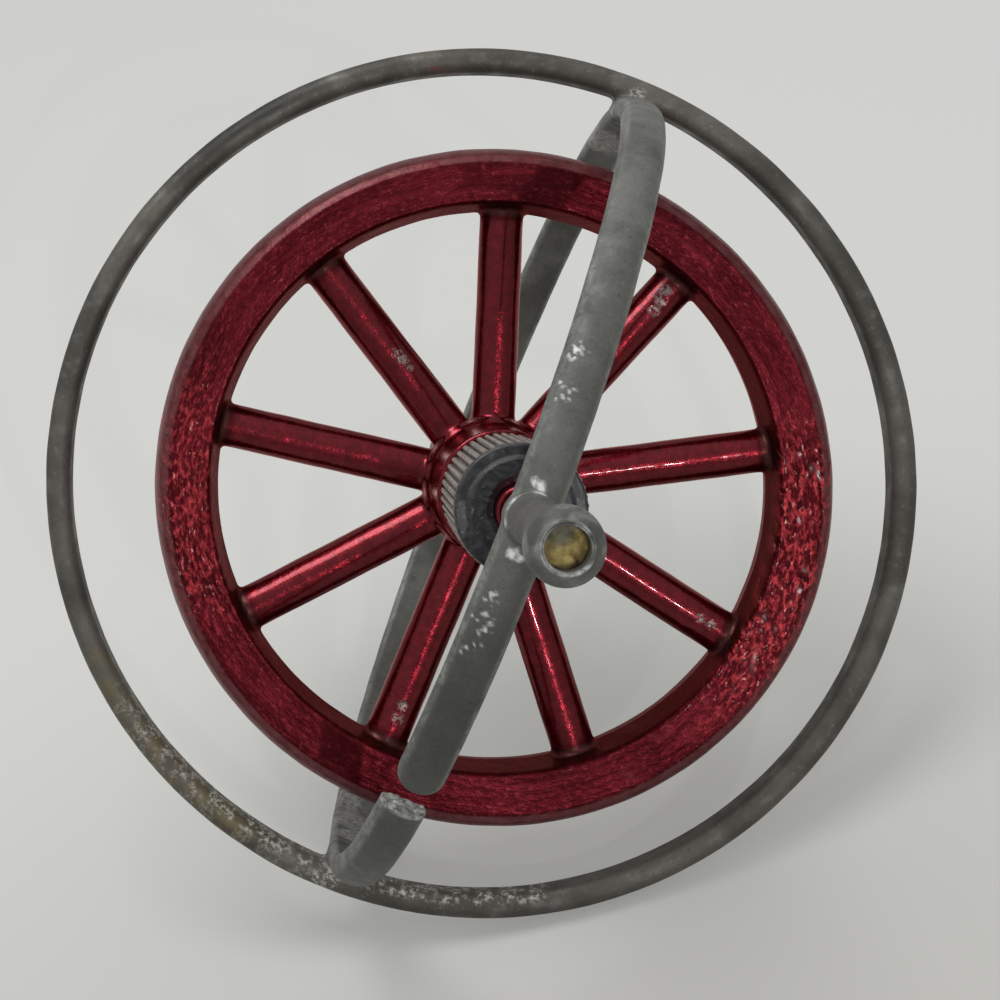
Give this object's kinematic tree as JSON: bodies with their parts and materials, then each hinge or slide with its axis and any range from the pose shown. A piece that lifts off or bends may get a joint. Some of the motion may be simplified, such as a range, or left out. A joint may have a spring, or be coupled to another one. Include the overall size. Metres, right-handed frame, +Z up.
{
  "type": "gyroscope",
  "caption": "Toy gyroscope: spoked flywheel with knurled drum on an axle, pivoted in a cast ring and arm cage with end knobs; lies on its side.",
  "frame": {"origin": "centre of the bottom of the bounding box, on the surface that the gyroscope lies on", "axes": "+Z up; the spin axis lies in the YZ plane, its front end toward -Y and up by about 33 degrees; +X to the right seen from the front"},
  "size_m": [0.0658, 0.0838, 0.0564],
  "materials": {
    "cast_zinc": "dull oxidised die casting",
    "aged_brass": "corroded brass",
    "red_lacquer": "translucent red lacquer over bright casting, worn at the edges",
    "axle_steel": "dull turned steel",
    "black_drum": "matt black, worn light on the ridges"
  },
  "bodies": {
    "cage": {"outer_ring": "cast_zinc", "front_arm": "cast_zinc", "arm_stub": "cast_zinc", "rear_arm": "cast_zinc", "front_knob": "cast_zinc", "rear_knob": "cast_zinc", "front_pivot_screw": "aged_brass", "rear_pivot_screw": "aged_brass"},
    "flywheel": {"wheel_rim": "red_lacquer", "wheel_spokes": "red_lacquer", "wheel_hub": "red_lacquer", "axle": "axle_steel", "knurled_drum": "black_drum", "drum_washer": "black_drum"}
  },
  "joints": [
    {"name": "wheel_spin", "type": "hinge", "parent": "cage", "child": "flywheel", "pos_m": [0.00089, 0, 0.02767], "axis": [0, -0.8416, 0.5401], "continuous": true}
  ]
}
